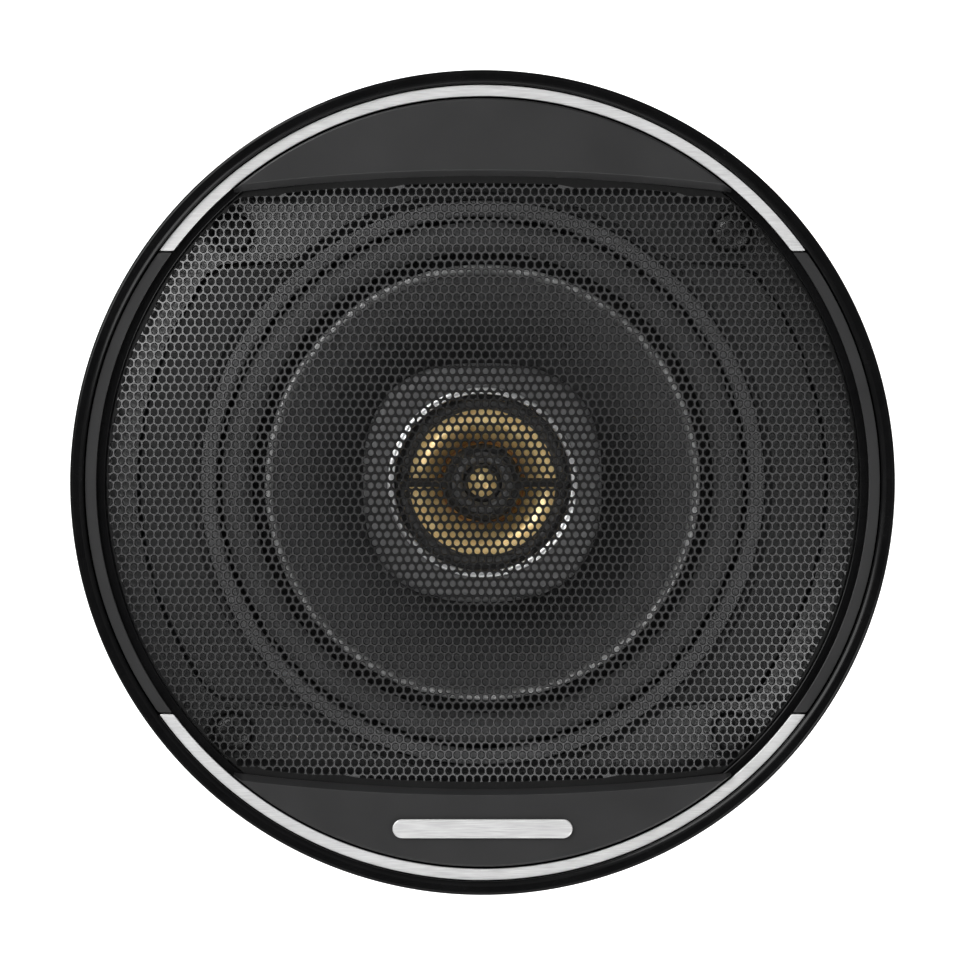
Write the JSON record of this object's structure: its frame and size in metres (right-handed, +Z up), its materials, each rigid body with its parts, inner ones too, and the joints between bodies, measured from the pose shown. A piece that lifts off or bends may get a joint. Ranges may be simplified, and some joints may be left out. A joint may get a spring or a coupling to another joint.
{
  "type": "coaxial car speaker",
  "caption": "Round three-way coaxial car speaker with a domed press-on mesh grille, a steel basket with screw ears, a pod-mounted midrange and dome tweeter.",
  "frame": {"origin": "on the speaker's axis, in the plane of the basket flange's rear face, which rests on the panel", "axes": "+Y points backwards into the panel, so the speaker plays towards -Y; +Z is up with the silver arcs at top and bottom; +X is to the listener's right"},
  "size_m": [0.156, 0.0631, 0.156],
  "materials": {
    "gloss_black": "gloss moulded",
    "satin_black": "fine moulded texture",
    "dark_satin": "satin paint",
    "brushed_silver": "brushed along X",
    "mesh_paint": "satin powder coat",
    "pulp": "pressed fibre",
    "rubber": "matte",
    "grey_plastic": "satin",
    "chrome": "polished",
    "gold_cone": "polished, gold coloured",
    "steel_paint": "semi-gloss",
    "zinc_steel": "zinc plated",
    "ferrite": "sintered, matte",
    "nickel_magnet": "nickel plated",
    "copper": "enamelled copper wire",
    "kapton": "polyimide film",
    "spider_cloth": "resin-treated weave",
    "felt": "felt",
    "board": "paper phenolic",
    "terminal_brass": "bright",
    "capacitor_sleeve": "shrink sleeve",
    "cable_jacket": "satin"
  },
  "bodies": {
    "chassis": {"basket": "steel_paint", "gasket_ring": "grey_plastic", "top_plate": "zinc_steel", "ferrite_magnet": "ferrite", "back_yoke": "zinc_steel", "pod_post": "satin_black", "pod_rear_shell": "satin_black", "pod_bezel": "dark_satin", "chrome_ring": "chrome", "midrange_frame": "satin_black", "midrange_yoke": "zinc_steel", "midrange_magnet": "nickel_magnet", "midrange_pole_cap": "zinc_steel", "tweeter_bridge": "satin_black", "tweeter_housing": "satin_black", "tweeter_yoke": "zinc_steel", "tweeter_magnet": "nickel_magnet", "terminal_board": "board", "terminal_positive": "terminal_brass", "terminal_negative": "terminal_brass", "crossover_capacitor_midrange": "capacitor_sleeve", "crossover_capacitor_tweeter": "capacitor_sleeve", "pod_feed_cable": "cable_jacket", "grille_base": "satin_black", "mounting_screw_1": "zinc_steel", "mounting_screw_2": "zinc_steel", "mounting_screw_3": "zinc_steel", "mounting_screw_4": "zinc_steel"},
    "woofer_moving": {"woofer_cone": "pulp", "cone_edge_ring": "chrome", "surround": "rubber", "voice_coil_former": "kapton", "voice_coil_winding": "copper", "spider": "spider_cloth", "dust_seal": "felt", "tinsel_lead_positive": "copper", "tinsel_lead_negative": "copper"},
    "midrange_moving": {"midrange_cone": "gold_cone", "midrange_coil_former": "kapton", "midrange_coil_winding": "copper", "midrange_dust_cap": "pulp", "midrange_surround": "rubber"},
    "tweeter_moving": {"tweeter_dome": "gold_cone", "tweeter_coil": "copper", "tweeter_surround": "rubber"},
    "grille_cover": {"grille_ring": "gloss_black", "grille_mesh": "mesh_paint", "silver_arc_top": "brushed_silver", "silver_arc_bottom": "brushed_silver", "side_arc_right": "dark_satin", "side_arc_left": "dark_satin", "crescent_top": "dark_satin", "crescent_bottom": "dark_satin", "badge_bar": "brushed_silver"}
  },
  "joints": [
    {"name": "woofer_excursion", "type": "slide", "parent": "chassis", "child": "woofer_moving", "axis": [0, -1, 0], "range_m": [-0.004, 0.004], "stiffness_N_per_m": 1900, "deforming": ["surround", "spider", "tinsel_lead_positive", "tinsel_lead_negative"]},
    {"name": "midrange_excursion", "type": "slide", "parent": "chassis", "child": "midrange_moving", "axis": [0, -1, 0], "range_m": [-0.0008, 0.0008], "stiffness_N_per_m": 2500, "deforming": ["midrange_surround"]},
    {"name": "tweeter_excursion", "type": "slide", "parent": "chassis", "child": "tweeter_moving", "axis": [0, -1, 0], "range_m": [-0.00025, 0.00025], "stiffness_N_per_m": 1200, "deforming": ["tweeter_surround"]},
    {"name": "grille_pull_off", "type": "slide", "parent": "chassis", "child": "grille_cover", "axis": [0, -1, 0], "range_m": [0, 0.03]}
  ]
}
